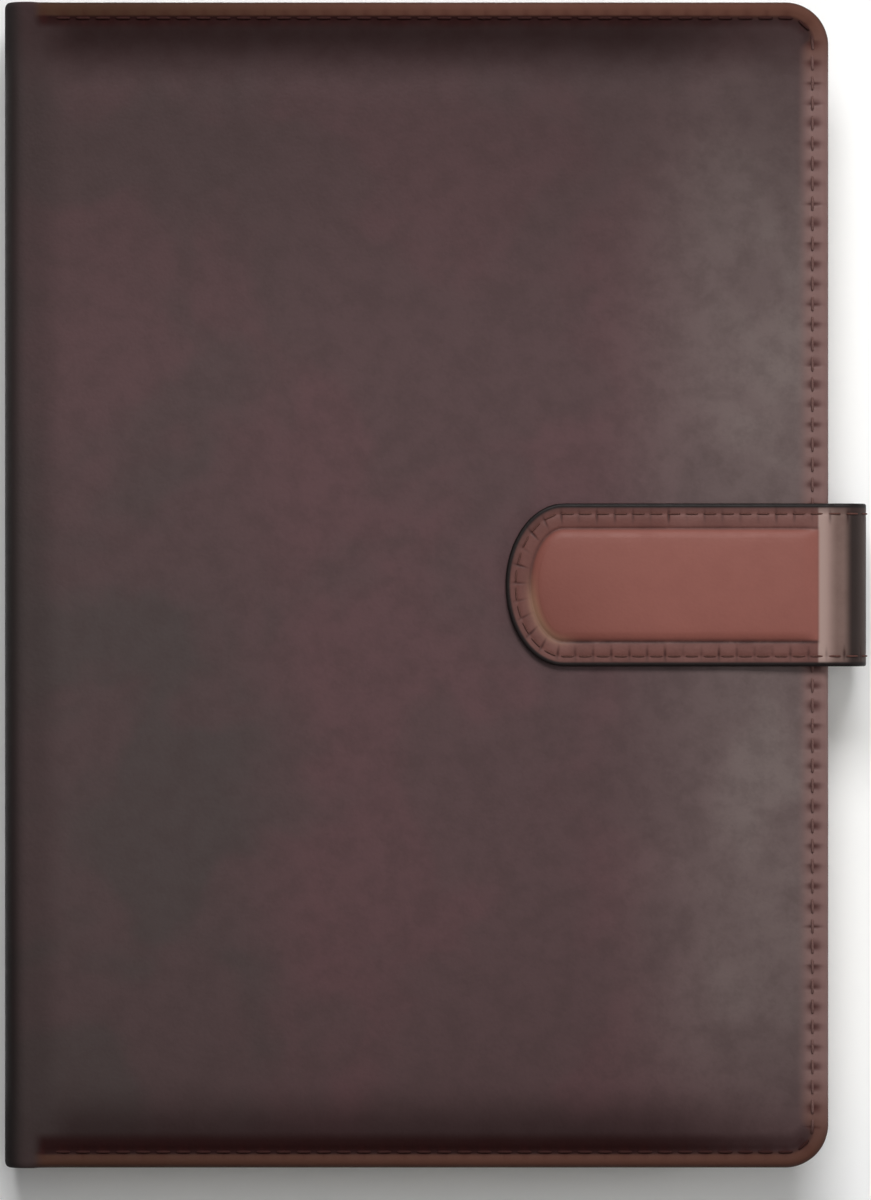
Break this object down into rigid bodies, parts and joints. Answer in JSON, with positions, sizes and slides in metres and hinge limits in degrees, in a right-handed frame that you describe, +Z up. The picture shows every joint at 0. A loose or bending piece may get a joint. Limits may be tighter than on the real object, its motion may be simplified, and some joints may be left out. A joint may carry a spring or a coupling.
{
  "type": "diary",
  "caption": "Padded leatherette diary with hinged covers, a block of leaves and a magnetic strap that folds over the fore-edge.",
  "frame": {"origin": "centre of the back cover's flat outer face, on which the closed diary lies", "axes": "+X towards the fore-edge, +Y towards the head, +Z up through the front cover"},
  "size_m": [0.1595, 0.215, 0.0265],
  "materials": {
    "cover_skin": "satin",
    "strap_skin": "satin",
    "lining": "matte",
    "thread": "matte",
    "board": "matte",
    "foam": "matte",
    "leaves": "matte",
    "endpaper": "matte",
    "gauze": "matte",
    "bead": "matte",
    "magnet": "satin"
  },
  "bodies": {
    "back_cover": {"back_cover_skin": "cover_skin", "back_cover_foam": "foam", "back_cover_board": "board", "back_cover_lining": "lining", "back_edge_stitching": "thread", "back_hinge_skin": "cover_skin", "strap_tail_skin": "strap_skin", "strap_tail_lining": "lining", "strap_tail_stitching": "thread"},
    "page_block": {"page_block": "leaves", "front_endpaper": "endpaper", "back_endpaper": "endpaper", "head_band": "bead", "tail_band": "bead", "spine_skin": "cover_skin", "spine_card": "board", "spine_gauze": "gauze", "front_hinge_skin": "cover_skin"},
    "front_cover": {"front_cover_skin": "cover_skin", "front_cover_foam": "foam", "front_cover_board": "board", "front_cover_lining": "lining", "front_edge_stitching": "thread", "front_magnet": "magnet"},
    "strap_flap": {"strap_flap_skin": "strap_skin", "strap_flap_pad": "foam", "strap_flap_lining": "lining", "strap_flap_stitching": "thread", "strap_flap_magnet": "magnet"}
  },
  "joints": [
    {"name": "back_cover_hinge", "type": "hinge", "parent": "back_cover", "child": "page_block", "pos_m": [-0.073, 0, 0.003], "axis": [0, 1, 0], "range_deg": [-90, 0], "deforming": ["back_hinge_skin"]},
    {"name": "front_cover_hinge", "type": "hinge", "parent": "page_block", "child": "front_cover", "pos_m": [-0.073, 0, 0.021], "axis": [0, -1, 0], "range_deg": [0, 178], "deforming": ["front_hinge_skin"]},
    {"name": "strap_crease", "type": "hinge", "parent": "back_cover", "child": "strap_flap", "pos_m": [0.0775, 0, 0.0255], "axis": [0, 1, 0], "range_deg": [0, 150]}
  ]
}
